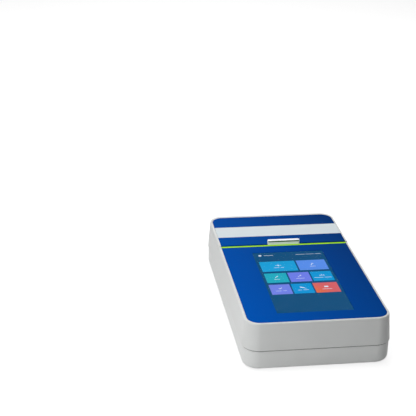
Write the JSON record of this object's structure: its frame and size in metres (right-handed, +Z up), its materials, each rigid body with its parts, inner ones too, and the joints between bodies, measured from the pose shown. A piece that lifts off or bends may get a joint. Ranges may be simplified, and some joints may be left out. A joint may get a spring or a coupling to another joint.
{
  "type": "fluorometer",
  "caption": "Flat bench fluorometer: touch screen in a glossy panel, and a hinged lid at the rear over a single tube well with its light sources and detector.",
  "frame": {"origin": "middle of the footprint, at the level of the feet", "axes": "+X across the front to the right, +Y from the front end to the hinge end, +Z up"},
  "size_m": [0.132, 0.2342, 0.0498],
  "materials": {
    "housing": "pale grey moulded plastic with a fine texture",
    "blue_panel": "glossy royal blue, printed behind a clear face",
    "pale_band": "satin off-white label",
    "bright_strip": "yellow-green light bar",
    "white_tab": "white moulded plastic",
    "screen_glass": "clear cover glass over the display",
    "black_plastic": "black moulded plastic",
    "black_metal": "black anodised",
    "rubber": "dark elastomer",
    "steel": "plated steel",
    "circuit_board": "green solder mask",
    "blue_optic": "blue epoxy or filter glass",
    "red_optic": "red epoxy or filter glass",
    "clear_optic": "polished glass",
    "lead_jacket": "flexible insulation"
  },
  "bodies": {
    "housing": {"base_shell": "housing", "top_shell": "housing", "front_panel": "blue_panel", "touch_glass": "screen_glass", "accent_strip": "bright_strip", "display_module": "steel", "display_bracket": "steel", "bracket_screw_1": "steel", "bracket_screw_2": "steel", "bracket_screw_3": "steel", "bracket_screw_4": "steel", "board_screw_1": "steel", "board_screw_2": "steel", "board_screw_3": "steel", "board_screw_4": "steel", "case_screw_1": "steel", "case_screw_2": "steel", "case_screw_3": "steel", "case_screw_4": "steel", "optics_screw_left": "steel", "optics_screw_right": "steel", "foot_1": "rubber", "foot_2": "rubber", "foot_3": "rubber", "foot_4": "rubber", "chamber_tray": "black_plastic", "tube_holder": "black_plastic", "optics_block": "black_metal", "blue_led": "blue_optic", "red_led": "red_optic", "blue_filter": "blue_optic", "red_filter": "red_optic", "led_board_left": "circuit_board", "led_board_right": "circuit_board", "collecting_lens": "clear_optic", "emission_filter": "red_optic", "photodiode": "steel", "detector_board": "circuit_board", "main_board": "circuit_board", "processor_can": "steel", "display_ribbon": "lead_jacket", "power_leads": "lead_jacket", "switch_leads": "lead_jacket", "hinge_pin_left": "steel", "hinge_pin_right": "steel", "catch_plate_left": "steel", "catch_plate_right": "steel", "switch_housing": "black_plastic", "dc_jack": "black_plastic", "dc_pin": "steel"},
    "lid": {"lid_shell": "housing", "lid_panel": "blue_panel", "lid_band": "pale_band", "lid_tab": "white_tab", "lid_liner": "black_plastic", "lid_seal": "rubber", "lid_magnet_left": "steel", "lid_magnet_right": "steel"},
    "rocker": {"switch_rocker": "black_plastic"}
  },
  "joints": [
    {"name": "lid_hinge", "type": "hinge", "parent": "housing", "child": "lid", "pos_m": [0, 0.11129, 0.0382], "axis": [-1, 0, 0], "range_deg": [0, 95]},
    {"name": "power_rocker", "type": "hinge", "parent": "housing", "child": "rocker", "pos_m": [-0.043, 0.11289, 0.0216], "axis": [0, 0, -1], "range_deg": [0, 18]}
  ]
}
